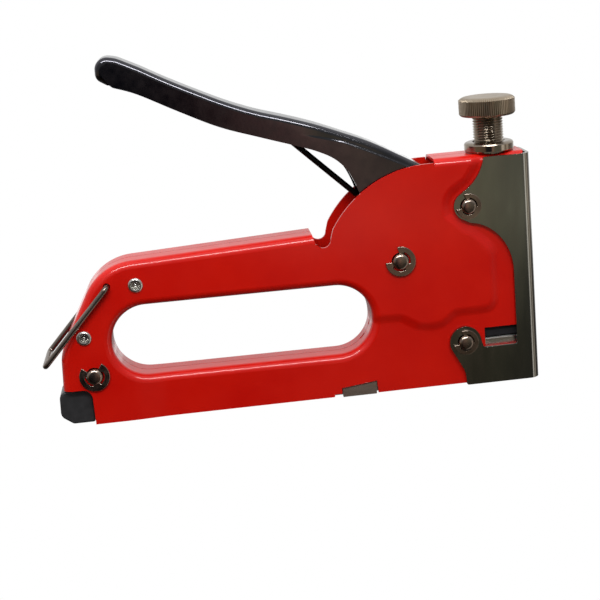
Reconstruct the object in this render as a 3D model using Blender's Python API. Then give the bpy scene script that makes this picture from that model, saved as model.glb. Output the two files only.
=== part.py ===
"""Hand staple gun: two stamped half shells, nose cover, squeeze lever and the works inside.

Sizes are in millimetres. x runs forward from a line just behind the front of the nose, so nearly every
x is negative; z is the height above the base; y is zero at the seam between the two half shells.
place() turns such a point into scene metres, with the origin under the middle of the tool.
"""
import math

import bmesh
import bpy
from mathutils import Vector
from mathutils.geometry import delaunay_2d_cdt

MM = 0.001
GAP = 0.3                      # running gap kept between neighbouring pieces

# Whole tool
OVERALL_LENGTH = 187.1         # nose front to the outside of the hanging lock bail
COVER_FRONT = 0.7              # nose front
MIDDLE_X = COVER_FRONT - OVERALL_LENGTH / 2

# Half shells
SHELL_HALF = 9.2
SHELL_SHEET = 1.0
SHELL_FOLD = 3.0
RECESS = 0.9                   # how far the base and nose panels lie below the main panel
SHELL_BASE = 0.5
SHELL_TOP = 87.6
SHELL_FRONT = -3.2
LEDGE_FRONT = -1.4             # the folded top reaches further forward than the sides
HANDLE_REAR = -180.2
SHOULDER = (-37.6, 43.0)       # centre of the round shoulder
SHOULDER_RADIUS = 43.3
GRIP_FRONT = (-75.7, 30.2)     # centres of the finger hole's round ends
GRIP_REAR = (-146.6, 30.6)
GRIP_RADIUS = 13.5
STEP_HALF = 2.2                # half the width of the sloping step, in the side view
RAMP_X = -148.0                # the base panel rises gently to the main panel here
RAMP_HALF = 9.0
SEAM_SLOT = (-16, -42)         # angles of the two slots in the finger hole's front wall
BUSH_HOLE = 6.9

# Nose cover
COVER_HALF = 9.7
COVER_SHEET = 1.2
COVER_FOLD = 3.9
COVER_TOP = 86.8

# Pins, clips and rivets
PIVOT = (-50.4, 50.9)
REAR_PIN = (-167.9, 19.3)
NOSE_UPPER = (-23.7, 69.2)
NOSE_LOWER = (-27.6, 17.1)
PIVOT_RADIUS = 3.0
NOSE_PIN_RADIUS = 2.8
CLIP_SHEET = 0.8
PIVOT_CLIP_RADIUS = 5.65
NOSE_CLIP_RADIUS = 4.8
RIVET_UPPER = (-149.1, 52.2)
RIVET_LOWER = (-170.1, 34.2)
RIVET_RADIUS = 1.9
RIVET_HEAD = 2.8

# Lever
LEVER_HALF = 7.6
LEVER_NARROW = 0.4             # how much narrower each side is above the crease
LEVER_SHEET = 1.4
LEVER_FOLD = 2.0
LEVER_CREASE_HALF = 0.5
LEVER_BOSS = 10.0              # radius of the cheek round the pivot
ARM_REACH = 25.5
ARM_ANGLE = -15.0
ARM_TIP_RADIUS = 2.2

# Lock bail
BAIL_HINGE = (-159.6, 52.7)
BAIL_WIRE = 1.05
BAIL_HALF = 11.0
BAIL_ANGLE = 226.9
BAIL_LENGTH = 37.6
BAIL_BEND = 1.6

# Lever return spring
RETURN_MEAN = 8.6              # radius to the middle of the wire
RETURN_WIRE = 1.1
RETURN_HALF = 3.9              # half the coil's width
RETURN_TURNS = 3.1
RETURN_LEAVE = 45.6            # angle at which the straight leg leaves the coil
RETURN_HOOK = 7.0

# Knob column
COLUMN_X = -12.7
KNOB_RADIUS = 10.45
KNOB_BASE = 101.1
KNOB_TOP = 108.2
STEM_RADIUS = 5.7
BUSH_RADIUS = 9.2
BUSH_TOP = 91.4
SEAT_BASE = 77.5
SPRING_RADIUS = 6.0
SPRING_WIRE = 0.95
SPRING_TURNS = 8.5
SEAT_RADIUS = 6.9
SEAT_FLANGE = 2.2              # thickness of the seat's flange
SEAT_SPIGOT = 4.6
SPIGOT_DEPTH = 2.5
STEM_FOOT = 0.4                # clearance between the seat and the foot of the stem
BUSH_DEPTH = 4.0               # how far the bush's neck goes down into the housing

# Hammer column
HAMMER_HALF = 6.9
HAMMER_REAR = -22.2
HAMMER_FRONT = -2.1
HAMMER_WALL = 2.1              # thickness of the wall that carries the rear shelf
SHELF_REAR = -27.2
HAMMER_BASE = 24.6
HAMMER_TABLE = 33.6
SHELF_BASE = 46.9
SHELF_TOP = 50.0
BUMPER_BASE = 17.7
BUMPER_REAR = -21.5
BUMPER_FRONT = -3.3
BLADE_REAR = -1.8
BLADE_FRONT = -0.8
BLADE_HALF = 5.5
BLADE_BASE = 0.6

# Magazine
CHANNEL_HALF = 6.9
CHANNEL_TOP = 14.5
CHANNEL_HEAD_TOP = 17.3        # the channel is taller at the front, behind the side window
CHANNEL_REAR = -164.5
CHANNEL_FRONT = -2.8
RAIL_HALF = 4.4
RAIL_TOP = 11.8
PUSHER_TOP = 13.1
RAIL_REAR = -169.4
RAIL_FRONT = -3.3
ROD_Z = 7.0
ROD_RADIUS = 1.2
ROD_LENGTH = 159.4
ROD_MIDDLE = -84.7
HEAD_REAR = -21.5              # rear end of the channel's taller part
LUG_HALF = 8.4
LUG_SHEET = 2.0
PUSHER_HALF = 5.6
PUSHER_REAR = -19.0
PUSHER_FRONT = -6.0
COIL_RADIUS = 2.1              # pusher spring, to the middle of the wire
COIL_WIRE = 0.4
COIL_FRONT = -17.1
COIL_REAR = -163.4
COIL_TURNS = 24
CAP_HALF = 6.8


# ---------------------------------------------------------------- helpers: points and outlines

def place(x, y, z):
    """Scene point, in metres, of a point given in millimetres from the x line and the base."""
    return Vector(((x - MIDDLE_X) * MM, y * MM, z * MM))


def arc(centre, radius, start, end, steps, radius_z=None):
    """Points along a circle, or an ellipse when radius_z is given, between two angles in degrees."""
    radius_z = radius if radius_z is None else radius_z
    points = []
    for step in range(steps + 1):
        angle = math.radians(start + (end - start) * step / steps)
        points.append((centre[0] + radius * math.cos(angle), centre[1] + radius_z * math.sin(angle)))
    return points


def filleted(corners, step_angle=16.0):
    """Polyline through corners (x, z, radius) with each corner rounded to its radius."""
    points = []
    for index, (x, z, radius) in enumerate(corners):
        if radius == 0 or index in (0, len(corners) - 1):
            points.append((x, z))
            continue
        corner = Vector((x, z))
        before = (Vector(corners[index - 1][:2]) - corner).normalized()
        after = (Vector(corners[index + 1][:2]) - corner).normalized()
        half = before.angle(after) / 2
        centre = corner + (before + after).normalized() * (radius / math.sin(half))
        start = corner + before * (radius / math.tan(half)) - centre
        turn = start.angle_signed(corner + after * (radius / math.tan(half)) - centre)
        steps = max(1, round(abs(math.degrees(turn)) / step_angle))
        for step in range(steps + 1):
            angle = -turn * step / steps
            cosine, sine = math.cos(angle), math.sin(angle)
            points.append((centre.x + start.x * cosine - start.y * sine,
                           centre.y + start.x * sine + start.y * cosine))
    return points


def smooth(points, steps):
    """Catmull-Rom curve through the points, with the given steps in each span."""
    guide = [points[0]] + list(points) + [points[-1]]
    curve = []
    for a, b, c, d in zip(guide, guide[1:], guide[2:], guide[3:]):
        for step in range(steps):
            t = step / steps
            curve.append(tuple(
                0.5 * (2 * q + (r - p) * t + (2 * p - 5 * q + 4 * r - s) * t ** 2
                       + (3 * q - p - 3 * r + s) * t ** 3)
                for p, q, r, s in zip(a, b, c, d)))
    curve.append(tuple(points[-1]))
    return curve


def offset_line(points, distance):
    """Polyline moved sideways to its left by the distance."""
    moved = []
    for index, point in enumerate(points):
        before = Vector(points[max(index - 1, 0)])
        after = Vector(points[min(index + 1, len(points) - 1)])
        along = (after - before).normalized()
        moved.append((point[0] - along.y * distance, point[1] + along.x * distance))
    return moved


def inside(point, loops):
    """True where the point lies within the loops, holes counted out."""
    crossings = 0
    for loop in loops:
        for (ax, az), (bx, bz) in zip(loop, loop[1:] + loop[:1]):
            if (az > point[1]) != (bz > point[1]):
                if point[0] < ax + (point[1] - az) / (bz - az) * (bx - ax):
                    crossings += 1
    return crossings % 2 == 1


def distance_to_line(point, line):
    """Shortest distance from a point to a polyline."""
    here = Vector(point)
    best = math.inf
    for start, end in zip(line, line[1:]):
        a, b = Vector(start), Vector(end)
        share = max(0.0, min(1.0, (here - a).dot(b - a) / (b - a).length_squared))
        best = min(best, (here - a - (b - a) * share).length)
    return best


# ---------------------------------------------------------------- helpers: objects

def material(name, colour, roughness, metallic):
    """Principled material with a plain finish."""
    made = bpy.data.materials.new(name)
    made.use_nodes = True
    shader = made.node_tree.nodes["Principled BSDF"]
    shader.inputs["Base Color"].default_value = (*colour, 1.0)
    shader.inputs["Roughness"].default_value = roughness
    shader.inputs["Metallic"].default_value = metallic
    return made


def object_from(name, bm, finish, origin):
    """Object whose origin is at the given point, from a bmesh in scene metres."""
    bmesh.ops.translate(bm, verts=bm.verts, vec=-place(*origin))
    mesh = bpy.data.meshes.new(name)
    bm.to_mesh(mesh)
    bm.free()
    mesh.shade_smooth()
    mesh.set_sharp_from_angle(angle=math.radians(35))
    made = bpy.data.objects.new(name, mesh)
    made.location = place(*origin)
    made.data.materials.append(finish)
    bpy.context.scene.collection.objects.link(made)
    return made


def cut(target, cutter, operation="DIFFERENCE"):
    """Boolean with a cutter that stays hidden in the file."""
    cutter.hide_render = True
    cutter.display_type = "WIRE"
    modifier = target.modifiers.new(cutter.name, "BOOLEAN")
    modifier.operation = operation
    modifier.solver = "EXACT"
    modifier.object = cutter


def prism(name, outline, y_low, y_high, finish, origin):
    """Outline in the side view, extruded across the tool."""
    bm = bmesh.new()
    face = bm.faces.new([bm.verts.new(place(x, y_low, z)) for x, z in outline])
    side = bmesh.ops.extrude_face_region(bm, geom=[face])
    verts = [item for item in side["geom"] if isinstance(item, bmesh.types.BMVert)]
    bmesh.ops.translate(bm, verts=verts, vec=(0, (y_high - y_low) * MM, 0))
    bmesh.ops.recalc_face_normals(bm, faces=bm.faces)
    return object_from(name, bm, finish, origin)


def block(name, low, high, finish, origin=None):
    """Box between two corners."""
    outline = [(low[0], low[2]), (high[0], low[2]), (high[0], high[2]), (low[0], high[2])]
    return prism(name, outline, low[1], high[1], finish, origin or low)


def bar(name, section, x_low, x_high, finish, origin):
    """Cross-section in y and z, extruded along the tool."""
    bm = bmesh.new()
    face = bm.faces.new([bm.verts.new(place(x_low, y, z)) for y, z in section])
    side = bmesh.ops.extrude_face_region(bm, geom=[face])
    verts = [item for item in side["geom"] if isinstance(item, bmesh.types.BMVert)]
    bmesh.ops.translate(bm, verts=verts, vec=((x_high - x_low) * MM, 0, 0))
    bmesh.ops.recalc_face_normals(bm, faces=bm.faces)
    return object_from(name, bm, finish, origin)


def turned(name, profile, centre, axis, segments, finish):
    """Profile of (radius, height along the axis) spun about the axis through the centre."""
    across = Vector((0, 0, 1)) if axis.z == 0 else Vector((1, 0, 0))
    bm = bmesh.new()
    middle = place(*centre)
    verts = [bm.verts.new(middle + (across * radius + axis * height) * MM)
             for radius, height in profile]
    edges = [bm.edges.new(pair) for pair in zip(verts, verts[1:])]
    bmesh.ops.spin(bm, geom=verts + edges, cent=middle, axis=axis,
                   angle=2 * math.pi, steps=segments, use_merge=True)
    bmesh.ops.remove_doubles(bm, verts=bm.verts, dist=1e-6)
    bmesh.ops.recalc_face_normals(bm, faces=bm.faces)
    return object_from(name, bm, finish, centre)


def wire(name, points, radius, finish, origin, sides=1):
    """Round wire with flat ends along the points."""
    curve = bpy.data.curves.new(name, "CURVE")
    curve.dimensions = "3D"
    curve.bevel_depth = radius * MM
    curve.bevel_resolution = sides
    curve.use_fill_caps = True
    spline = curve.splines.new("POLY")
    spline.points.add(len(points) - 1)
    spline.use_smooth = True
    for target, point in zip(spline.points, points):
        target.co = (*(place(*point) - place(*origin)), 1.0)
    made = bpy.data.objects.new(name, curve)
    made.location = place(*origin)
    curve.materials.append(finish)
    bpy.context.scene.collection.objects.link(made)
    return made


# ---------------------------------------------------------------- helpers: folded sheet metal

def plain_run(points):
    """Part of an outline where the sheet simply ends."""
    return [(point, point, False) for point in points]


def folded_run(points, radius, closed=False, first=None, last=None):
    """Part of an outline where the sheet folds inwards.

    The points lie on the outside of the fold, with the sheet on their left. Each entry pairs the
    point where the flat panel ends with the point outside it. first and last set the panel's end
    points where the fold doesn't end square.
    """
    run = []
    count = len(points)
    for index, point in enumerate(points):
        here = Vector(point)
        ahead = points[(index + 1) % count] if closed or index < count - 1 else None
        behind = points[index - 1] if closed or index > 0 else None
        normals = []
        if behind:
            along = (here - Vector(behind)).normalized()
            normals.append(Vector((-along.y, along.x)))
        if ahead:
            along = (Vector(ahead) - here).normalized()
            normals.append(Vector((-along.y, along.x)))
        inward = sum(normals, Vector((0, 0))).normalized()
        inward *= radius / inward.dot(normals[0])
        run.append((tuple(here + inward), point, True))
    if first:
        run[0] = (first, points[0], True)
    if last:
        run[-1] = (last, points[-1], True)
    return run


def ring(centre, radius, steps):
    """Round hole in a panel."""
    return plain_run(arc(centre, radius, 360, 360 / steps, steps - 1))


def with_crossings(loop, creases):
    """Loop with an extra entry wherever a crease line crosses it."""
    result = []
    for start, end in zip(loop, loop[1:] + loop[:1]):
        result.append(start)
        a, b = Vector(start[0]), Vector(end[0])
        shares = []
        for line in creases:
            for c, d in zip(line, line[1:]):
                c, d = Vector(c), Vector(d)
                turn = (b - a).cross(d - c)
                if abs(turn) < 1e-9:
                    continue
                share = (c - a).cross(d - c) / turn
                other = (c - a).cross(b - a) / turn
                if 0.001 < share < 0.999 and 0 <= other <= 1:
                    shares.append(share)
        for share in sorted(shares):
            panel = tuple(a.lerp(b, share))
            outside = tuple(Vector(start[1]).lerp(Vector(end[1]), share))
            result.append((panel, outside, start[2] and end[2]))
    return result


def folded_panel(loops, creases, half_width, fold, depth, seam, steps=3):
    """Outside skin of one stamped half, on the -y side, as a bmesh.

    The flat panel fills the loops. depth(x, z) says how far the panel lies below half_width, and
    the crease lines put edges where that changes. Folded edges curve round and run on to the seam.
    """
    loops = [with_crossings(loop, creases) for loop in loops]
    flat = [[entry[0] for entry in loop] for loop in loops]
    points, edges = [], []
    for loop in flat:
        base = len(points)
        points += loop
        edges += [(base + i, base + (i + 1) % len(loop)) for i in range(len(loop))]
    for line in creases:
        base = len(points)
        points += line
        edges += [(base + i, base + i + 1) for i in range(len(line) - 1)]
    filled = delaunay_2d_cdt([Vector(point) for point in points], edges, [], 0, 1e-4)
    verts_2d, faces, sources = filled[0], filled[2], filled[3]
    found = {source: index for index, group in enumerate(sources) for source in group}

    bm = bmesh.new()
    panel = {}

    def panel_vert(index):
        if index not in panel:
            x, z = verts_2d[index]
            panel[index] = bm.verts.new(place(x, depth(x, z) - half_width, z))
        return panel[index]

    for face in faces:
        middle = sum((verts_2d[index] for index in face), Vector((0, 0))) / 3
        if inside(middle, flat):
            bm.faces.new([panel_vert(index) for index in face])

    base = 0
    for loop in loops:
        rows = []
        for index, (start, outside, folded) in enumerate(loop):
            if not folded:
                rows.append(None)
                continue
            edge = half_width - depth(*start)
            row = [panel_vert(found[base + index])]
            for step in range(1, steps + 1):
                angle = math.radians(90 * step / steps)
                share = math.sin(angle)
                x = start[0] + (outside[0] - start[0]) * share
                z = start[1] + (outside[1] - start[1]) * share
                row.append(bm.verts.new(place(x, fold * (1 - math.cos(angle)) - edge, z)))
            row.append(bm.verts.new(place(outside[0], -seam, outside[1])))
            rows.append(row)
        for row, following in zip(rows, rows[1:] + rows[:1]):
            if row and following:
                for inner, outer in zip(zip(row, following), zip(row[1:], following[1:])):
                    bm.faces.new((inner[1], inner[0], outer[0], outer[1]))
        base += len(loop)
    return bm


def mirrored(bm):
    """Turn a -y skin into the matching +y skin."""
    bmesh.ops.scale(bm, vec=(1, -1, 1), verts=bm.verts)
    bmesh.ops.reverse_faces(bm, faces=bm.faces)


def whole(bm):
    """Join a skin that reaches the middle to its own mirror image."""
    copy = bmesh.ops.duplicate(bm, geom=bm.verts[:] + bm.edges[:] + bm.faces[:])["geom"]
    bmesh.ops.scale(bm, vec=(1, -1, 1), verts=[v for v in copy if isinstance(v, bmesh.types.BMVert)])
    bmesh.ops.reverse_faces(bm, faces=[f for f in copy if isinstance(f, bmesh.types.BMFace)])
    bmesh.ops.remove_doubles(bm, verts=bm.verts, dist=1e-6)


def sheet_metal(name, bm, thickness, finish, origin):
    """Object from an outside skin, thickened inwards."""
    made = object_from(name, bm, finish, origin)
    solid = made.modifiers.new("sheet", "SOLIDIFY")
    solid.thickness = thickness * MM
    solid.offset = -1
    solid.use_even_offset = True
    return made


# ---------------------------------------------------------------- half shells

def step_line():
    """Middle of the sloping step between the main panel and the lower nose and base panel."""
    wave = filleted([(-66, 29.4, 0), (-51.5, 29.0, 4), (-45.5, 25.2, 4), (-39.8, 23.9, 8),
                     (-34.6, 25.4, 4), (-30.6, 28.8, 3), (-15.4, 28.8, 4), (-15.2, 52.5, 6),
                     (-23.5, 60.2, 8), (-30.2, 62.0, 5)], 30)
    lobe = arc(NOSE_UPPER, 8.2, 205, 130, 3)
    return wave[:-1] + lobe + [(-24.0, 78.6), (-20.4, 83.5), (-18.8, 92)]


def recess_depth(x, z):
    """Depth of the shell's panel below the main panel at a point."""
    line = step_line()
    low = [(-66, -20), (20, -20), (20, 110), (-18.8, 110)]
    region = line + low[::-1]
    within = inside((x, z), [region]) or (x < -60 and z < 20)
    reach = distance_to_line((x, z), line)
    front = 0.5 + (reach if within else -reach) / (2 * STEP_HALF)
    rear = 0.5 + (x - RAMP_X) / (2 * RAMP_HALF)
    return RECESS * max(0.0, min(1.0, front, rear))


def shell_outline():
    """Outline of a half shell, from the rear of the base round by the nose and the handle."""
    base = filleted([(-174.0, 14.2, 0), (-169.6, 14.0, 3.5), (-169.5, SHELL_BASE, 0)])
    lug_slot = [(-78.9, SHELL_BASE), (-78.7, 1.5), (-76.0, 1.6), (-75.9, 3.8), (-62.3, 5.3),
                (-62.0, SHELL_BASE)]
    nose = [(SHELL_FRONT, SHELL_BASE)]
    top = folded_run([(LEDGE_FRONT, SHELL_TOP), (-35.3, SHELL_TOP)], SHELL_FOLD,
                     first=(SHELL_FRONT, SHELL_TOP - SHELL_FOLD))
    shoulder = [(-35.6, 86.3)] + arc(SHOULDER, SHOULDER_RADIUS, 90, 149, 14)
    notch = arc((-78.6, 61.7), 2.85, 0, -155, 6)
    handle = filleted([(-82.4, 63.9, 0), (-161.8, 60.7, 21), (-179.4, 28.8, 18),
                       (HANDLE_REAR, 14.4, 0)], 10)
    handle = folded_run(handle, SHELL_FOLD, first=(-81.5, 60.5))
    return plain_run(base + lug_slot + nose) + top + plain_run(shoulder + notch[:-1]) + handle


def grip_hole():
    """Finger hole with round ends, folded inwards all the way round."""
    front = arc(GRIP_FRONT, GRIP_RADIUS, 90, -90, 12)
    rear = arc(GRIP_REAR, GRIP_RADIUS, -90, -270, 12)
    return folded_run(front + rear, SHELL_FOLD, closed=True)


def side_window():
    """Small window low in the nose."""
    corners = [(-19.8, 14.0), (-19.8, 21.5), (-5.6, 21.5), (-5.6, 14.0)]
    return plain_run(corners)


def shell_skin():
    """Outside skin of the right half shell."""
    line = step_line()
    creases = [offset_line(line, STEP_HALF), offset_line(line, -STEP_HALF),
               [(RAMP_X + RAMP_HALF, -5), (RAMP_X + RAMP_HALF, 30)],
               [(RAMP_X - RAMP_HALF, -5), (RAMP_X - RAMP_HALF, 30)]]
    loops = [shell_outline(), grip_hole(), side_window(),
             ring(PIVOT, PIVOT_RADIUS + GAP, 16), ring(REAR_PIN, PIVOT_RADIUS + GAP, 16),
             ring(NOSE_UPPER, NOSE_PIN_RADIUS + GAP, 12), ring(NOSE_LOWER, NOSE_PIN_RADIUS + GAP, 12),
             ring(RIVET_UPPER, RIVET_RADIUS + GAP, 10), ring(RIVET_LOWER, RIVET_RADIUS + GAP, 10),
             ring(BAIL_HINGE, BAIL_WIRE + GAP, 10)]
    return folded_panel(loops, creases, SHELL_HALF, SHELL_FOLD, recess_depth, GAP / 2)


def seam_cutter(finish):
    """Cutter for the bush hole in the top and the two seam slots in the grip's front wall."""
    cutter = turned("seam_cutter", [(0, 4), (BUSH_HOLE, 4), (BUSH_HOLE, -6), (0, -6)],
                    (COLUMN_X, 0, SHELL_TOP), Vector((0, 0, 1)), 20, finish)
    for index, angle in enumerate(SEAM_SLOT):
        x, z = arc(GRIP_FRONT, GRIP_RADIUS, angle, angle, 1)[0]
        slot = block(f"seam_slot_{index}", (x - 2.5, -0.7, z - 1.0), (x + 2.5, 0.7, z + 1.0), finish)
        cut(cutter, slot, "UNION")
    return cutter


def shells(red):
    """Right and left half shells."""
    cutter = seam_cutter(red)
    for name in ("right_shell", "left_shell"):
        skin = shell_skin()
        if name == "left_shell":
            mirrored(skin)
        cut(sheet_metal(name, skin, SHELL_SHEET, red, (COLUMN_X, 0, 0)), cutter)


# ---------------------------------------------------------------- nose cover

def cover_outline():
    """Side of the nose cover: a lobe at each pin and a long sweep between them."""
    foot = filleted([(-31.9, 12.0, 0), (-28.3, 5.6, 8), (-27.9, 0.0, 0.8), (-20, 0, 0)])[1:-1]
    front = folded_run([(COVER_FRONT, 0.0), (COVER_FRONT, COVER_TOP)], COVER_FOLD)
    rear = arc((-34.5, 89.8), 17.7, -9.5, -60, 6)
    upper_lobe = arc(NOSE_UPPER, 5.4, 112, 248, 8)
    sweep = arc((-25.0, 43.0), 17.3, 84, 0, 9, 19.9)
    window = filleted([(-7.7, 43, 0), (-7.7, 14.2, 0.7), (-20.6, 14.2, 1.4), (-21.7, 17.0, 0)])[1:-1]
    lower_lobe = arc(NOSE_LOWER, 6.0, 4, 204, 11)
    return (front + plain_run([(-16.2, COVER_TOP)] + rear + upper_lobe + sweep + window
                              + lower_lobe + foot))


def nose_cover(steel):
    """Bright cover folded round the front of the nose."""
    loops = [cover_outline(), ring(NOSE_UPPER, NOSE_PIN_RADIUS + GAP, 12),
             ring(NOSE_LOWER, NOSE_PIN_RADIUS + GAP, 12)]
    skin = folded_panel(loops, [], COVER_HALF, COVER_FOLD, lambda x, z: 0.0, 0.0, 4)
    whole(skin)
    sheet_metal("nose_cover", skin, COVER_SHEET, steel, (0, 0, 0))


# ---------------------------------------------------------------- lever

def arm_tip():
    """Centre of the round tip that lifts the hammer, with the lever open."""
    return arc(PIVOT, ARM_REACH, ARM_ANGLE, ARM_ANGLE, 1)[0]


def lever_crease():
    """Line where the wide cheek meets the narrower channel above it."""
    return smooth([(-34, 79.4), (-44.6, 85.7), (-54, 90.5), (-63.6, 95.1), (-70, 97.7),
                   (-82, 101.0), (-95, 104.8)], 2)


def lever_depth(x, z):
    """How far the lever's side lies in from its widest part; the crease fades out to the rear."""
    line = lever_crease()
    below = inside((x, z), [line + [(-95, 20), (-10, 20)]])
    reach = distance_to_line((x, z), line)
    step = 0.5 - (reach if below else -reach) / (2 * LEVER_CREASE_HALF)
    return LEVER_NARROW * max(0.0, min(1.0, step)) * max(0.0, min(1.0, (x + 84) / 18))


def lever_outline():
    """Side of the lever: handle, cheek round the pivot, and the arm that reaches the hammer."""
    under = smooth([(-149.0, 124.3), (-140.7, 121.2), (-127.1, 114.0), (-112.8, 106.9),
                    (-98.5, 101.8), (-84.9, 97.2), (-77.7, 94.5), (-71.9, 91.3), (-67.7, 87.0),
                    (-65.0, 81.8), (-63.2, 76.5)], 2)
    boss = arc(PIVOT, LEVER_BOSS, 172, 262, 5)
    tip = arc(arm_tip(), ARM_TIP_RADIUS, -95, 100, 6)
    web = filleted([(-28.0, 46.2, 0), (-34.5, 48.4, 6), (-38.5, 62.0, 10), (-38.9, 83.2, 0)])
    top = smooth([(-39.0, 85.3), (-47.4, 90.1), (-57.8, 95.9), (-68.1, 100.4), (-78.4, 104.6),
                  (-88.8, 108.1), (-99.1, 111.3), (-109.4, 115.4), (-119.8, 120.4),
                  (-130.0, 125.6), (-139.0, 130.6)], 1)
    end = filleted([(-139.0, 130.6, 0), (-147.0, 134.6, 10), (-154.6, 136.0, 4.4),
                    (-154.9, 127.6, 3.4), (-151.0, 125.3, 0)], 22)
    return (plain_run(under + boss + tip + web)
            + folded_run(top[:-1] + end, LEVER_FOLD, first=(-39.9, 83.5), last=(-150.2, 125.3)))


def squeeze_lever(steel):
    """Folded lever, open below, with two cheeks and two arms inside the housing."""
    line = lever_crease()
    creases = [offset_line(line, LEVER_CREASE_HALF), offset_line(line, -LEVER_CREASE_HALF)]
    loops = [lever_outline(), ring(PIVOT, PIVOT_RADIUS + GAP, 14)]
    skin = folded_panel(loops, creases, LEVER_HALF, LEVER_FOLD, lever_depth, 0.0)
    whole(skin)
    sheet_metal("squeeze_lever", skin, LEVER_SHEET, steel, (PIVOT[0], 0, PIVOT[1]))


# ---------------------------------------------------------------- pins, clips and rivets

def pin(name, centre, radius, half_length, groove, steel):
    """Pin across the tool with a clip groove and a chamfer at each end."""
    neck = radius - 0.7
    end = [(0, half_length), (radius - 0.7, half_length), (radius, half_length - 0.6),
           (radius, groove + CLIP_SHEET + GAP / 2), (neck, groove + CLIP_SHEET + GAP / 2),
           (neck, groove - GAP / 2), (radius, groove - GAP / 2)]
    profile = end + [(r, -y) for r, y in reversed(end)]
    turned(name, profile, (centre[0], 0, centre[1]), Vector((0, 1, 0)), 14, steel)


def clip_outline(centre, outer, neck, opening):
    """E-clip: three teeth on the pin's neck and a mouth that faces the opening angle."""
    tooth, pocket = neck + 0.15, outer * 0.66
    mouth = 41
    rim = arc(centre, outer, opening + mouth, opening + 360 - mouth, 14)
    inner = []
    for low, high, radius in ((318, 300, tooth), (288, 204, pocket), (192, 168, tooth),
                              (156, 72, pocket), (60, 42, tooth)):
        steps = 3 if radius == pocket else 1
        inner += arc(centre, radius, opening + low, opening + high, steps)
    return rim + inner


def clips(name, centre, outer, neck, opening, groove, steel):
    """Pair of clips, one on each end of a pin."""
    outline = clip_outline(centre, outer, neck, opening)
    for side, low in (("right", -groove - CLIP_SHEET), ("left", groove)):
        prism(f"{name}_clip_{side}", outline, low, low + CLIP_SHEET, steel,
              (centre[0], low, centre[1]))


def rivet(name, centre, steel):
    """Tubular rivet through both half shells, with rolled heads and hollow ends."""
    head = SHELL_HALF + 0.1
    end = [(0, head - 1.0), (1.0, head - 0.9), (1.5, head + 0.3), (1.9, head + 0.7),
           (2.4, head + 0.6), (RIVET_HEAD, head + 0.2), (RIVET_HEAD, head), (RIVET_RADIUS, head)]
    profile = end + [(r, -y) for r, y in reversed(end)]
    turned(name, profile, (centre[0], 0, centre[1]), Vector((0, 1, 0)), 14, steel)


def fasteners(steel, bright):
    """Four clipped pins and two tubular rivets."""
    face, cover = SHELL_HALF + GAP / 2, COVER_HALF + GAP / 2
    pins = (("lever_pivot", PIVOT, PIVOT_RADIUS, PIVOT_CLIP_RADIUS, 140, face),
            ("rear", REAR_PIN, PIVOT_RADIUS, PIVOT_CLIP_RADIUS, 99, face),
            ("nose_upper", NOSE_UPPER, NOSE_PIN_RADIUS, NOSE_CLIP_RADIUS, 150, cover),
            ("nose_lower", NOSE_LOWER, NOSE_PIN_RADIUS, NOSE_CLIP_RADIUS, 150, cover))
    for name, centre, radius, outer, opening, groove in pins:
        pin(f"{name}_pin", centre, radius, groove + CLIP_SHEET + 1.1, groove, steel)
        clips(name, centre, outer, radius - 0.7, opening, groove, steel)
    rivet("rivet_upper", RIVET_UPPER, bright)
    rivet("rivet_lower", RIVET_LOWER, bright)


# ---------------------------------------------------------------- wires and springs

def lock_bail(steel):
    """Wire loop hinged in the shells that swings up over the closed lever."""
    end = arc(BAIL_HINGE, BAIL_LENGTH, BAIL_ANGLE, BAIL_ANGLE, 1)[0]
    hinge = BAIL_HINGE
    leg = Vector((end[0] - hinge[0], end[1] - hinge[1])).normalized()
    bend = BAIL_BEND
    half = [(-7.2, 0.0), (-(BAIL_HALF - bend), 0.0)]
    half += [(-(BAIL_HALF - bend) - bend * math.sin(math.radians(a)),
              bend * (1 - math.cos(math.radians(a)))) for a in (30, 60, 90)]
    half += [(-BAIL_HALF, BAIL_LENGTH / 2), (-BAIL_HALF, BAIL_LENGTH - bend)]
    half += [(-(BAIL_HALF - bend) - bend * math.cos(math.radians(a)),
              BAIL_LENGTH - bend + bend * math.sin(math.radians(a))) for a in (30, 60, 90)]
    path = half + [(-y, reach) for y, reach in reversed(half)]
    points = [(hinge[0] + leg.x * reach, y, hinge[1] + leg.y * reach) for y, reach in path]
    wire("lock_bail", points, BAIL_WIRE, steel, (hinge[0], 0, hinge[1]), 2)


def lever_return_spring(steel):
    """Torsion spring round the pivot whose straight leg pushes the lever open."""
    steps = round(RETURN_TURNS * 14)
    coil = []
    for step in range(steps + 1):
        angle = math.radians(RETURN_LEAVE - 360 * RETURN_TURNS * (1 - step / steps))
        coil.append((PIVOT[0] + RETURN_MEAN * math.cos(angle),
                     RETURN_HALF * (2 * step / steps - 1),
                     PIVOT[1] + RETURN_MEAN * math.sin(angle)))
    first = math.radians(RETURN_LEAVE - 360 * RETURN_TURNS)
    hook = (coil[0][0] + RETURN_HOOK * math.sin(first), -RETURN_HALF,
            coil[0][2] - RETURN_HOOK * math.cos(first))
    last = math.radians(RETURN_LEAVE)
    reach = Vector((-math.sin(last), 0, math.cos(last)))
    start = Vector(coil[-1])
    leg = [tuple(start + reach * length + Vector((0, drift, 0)))
           for length, drift in ((18, -1.5), (44, -3.0), (67, -3.6))]
    wire("lever_return_spring", [hook] + coil + leg, RETURN_WIRE, steel, (PIVOT[0], 0, PIVOT[1]))


def coil_points(centre, mean, low, high, turns, per_turn):
    """Helix of points about the z direction, as (across, across, along)."""
    steps = round(turns * per_turn)
    for step in range(steps + 1):
        angle = 2 * math.pi * turns * step / steps
        yield (centre[0] + mean * math.cos(angle), centre[1] + mean * math.sin(angle),
               low + (high - low) * step / steps)


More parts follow.
